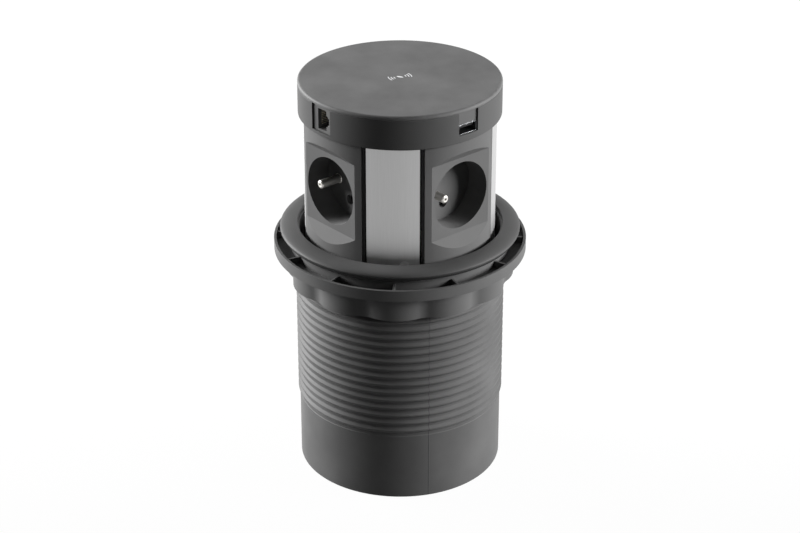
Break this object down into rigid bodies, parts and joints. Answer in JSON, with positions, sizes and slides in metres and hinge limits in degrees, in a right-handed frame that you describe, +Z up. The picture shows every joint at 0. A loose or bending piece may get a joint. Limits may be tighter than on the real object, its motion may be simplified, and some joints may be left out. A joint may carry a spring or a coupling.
{
  "type": "pop up desk socket",
  "caption": "Round pop-up desk socket: a ridged barrel with a clamp nut and a sprung column that carries mains sockets, network and USB ports and a charging top.",
  "frame": {"origin": "on the barrel's axis, in the plane of its lowest rim", "axes": "+Z up along the barrel's axis; the socket under the network jack faces -Y, the one under the USB outlet faces +X"},
  "size_m": [0.1424, 0.1424, 0.2345],
  "materials": {
    "shell_plastic": "fine satin texture, anthracite moulded ABS",
    "front_plastic": "fine satin texture, anthracite moulded polycarbonate",
    "top_plastic": "fine matt texture, anthracite moulded plastic",
    "inner_plastic": "plain black moulded plastic",
    "port_plastic": "satin grey moulded plastic",
    "mark_ink": "light grey inlay",
    "seal_rubber": "soft black rubber",
    "strip_metal": "satin anodised, fine upright grain",
    "screw_steel": "zinc plated",
    "pin_nickel": "nickel-plated brass, turned",
    "contact_brass": "bare pressed brass",
    "spring_steel": "drawn spring wire",
    "coil_copper": "lacquered copper winding",
    "ferrite": "dull sintered ferrite",
    "board_green": "glass-fibre board with solder mask",
    "block_cream": "cream moulded thermoset"
  },
  "bodies": {
    "housing": {"housing_tube": "shell_plastic", "trim_ring": "shell_plastic", "desk_gasket": "seal_rubber", "guide_collar": "inner_plastic", "base_cap": "inner_plastic", "base_screws": "screw_steel", "mains_inlet": "seal_rubber", "data_inlet": "seal_rubber", "lift_spring": "spring_steel", "latch_bracket": "screw_steel", "latch_pin": "screw_steel"},
    "column": {"column_foot": "inner_plastic", "foot_screws": "screw_steel", "striker": "screw_steel", "column_frame": "inner_plastic", "terminal_block": "block_cream", "strip_screws": "screw_steel", "lid_rim": "front_plastic", "lid_screws": "screw_steel", "top_plate": "top_plastic", "charge_mark": "mark_ink", "charge_coil": "coil_copper", "ferrite_disc": "ferrite", "charger_board": "board_green", "network_jack": "port_plastic", "network_contacts": "contact_brass", "usb_shell": "screw_steel", "usb_tongue": "inner_plastic", "usb_bezel": "port_plastic", "socket_front_1": "front_plastic", "earth_pin_1": "pin_nickel", "contact_carrier_1": "inner_plastic", "socket_contacts_1": "contact_brass", "shutter_spring_1": "spring_steel", "accent_strip_1": "strip_metal", "socket_front_2": "front_plastic", "earth_pin_2": "pin_nickel", "contact_carrier_2": "inner_plastic", "socket_contacts_2": "contact_brass", "shutter_spring_2": "spring_steel", "accent_strip_2": "strip_metal", "socket_front_3": "front_plastic", "earth_pin_3": "pin_nickel", "contact_carrier_3": "inner_plastic", "socket_contacts_3": "contact_brass", "shutter_spring_3": "spring_steel", "accent_strip_3": "strip_metal", "socket_front_4": "front_plastic", "earth_pin_4": "pin_nickel", "contact_carrier_4": "inner_plastic", "socket_contacts_4": "contact_brass", "shutter_spring_4": "spring_steel", "accent_strip_4": "strip_metal"},
    "latch_hook": {"latch_hook": "screw_steel"},
    "clamp_nut": {"clamp_nut": "shell_plastic"},
    "shutter_1": {"shutter_1": "inner_plastic"},
    "shutter_2": {"shutter_2": "inner_plastic"},
    "shutter_3": {"shutter_3": "inner_plastic"},
    "shutter_4": {"shutter_4": "inner_plastic"}
  },
  "joints": [
    {"name": "column_lift", "type": "slide", "parent": "housing", "child": "column", "axis": [0, 0, 1], "range_m": [-0.0861, 0], "stiffness_N_per_m": 110, "springref_m": 0.16, "deforming": ["lift_spring"]},
    {"name": "nut_travel", "type": "slide", "parent": "housing", "child": "clamp_nut", "axis": [0, 0, 1], "range_m": [-0.0745, 0.0019]},
    {"name": "latch_swing", "type": "hinge", "parent": "housing", "child": "latch_hook", "pos_m": [-0.038, 0, 0.0095], "axis": [0, 1, 0], "range_deg": [0, 14], "stiffness_Nm_per_rad": 0.02, "springref_deg": -5.73},
    {"name": "shutter_1_slide", "type": "slide", "parent": "column", "child": "shutter_1", "axis": [1, 0, 0], "range_m": [0, 0.0066], "stiffness_N_per_m": 40, "springref_m": -0.003, "deforming": ["shutter_spring_1"]},
    {"name": "shutter_2_slide", "type": "slide", "parent": "column", "child": "shutter_2", "axis": [0, 1, 0], "range_m": [0, 0.0066], "stiffness_N_per_m": 40, "springref_m": -0.003, "deforming": ["shutter_spring_2"]},
    {"name": "shutter_3_slide", "type": "slide", "parent": "column", "child": "shutter_3", "axis": [-1, 0, 0], "range_m": [0, 0.0066], "stiffness_N_per_m": 40, "springref_m": -0.003, "deforming": ["shutter_spring_3"]},
    {"name": "shutter_4_slide", "type": "slide", "parent": "column", "child": "shutter_4", "axis": [0, -1, 0], "range_m": [0, 0.0066], "stiffness_N_per_m": 40, "springref_m": -0.003, "deforming": ["shutter_spring_4"]}
  ]
}
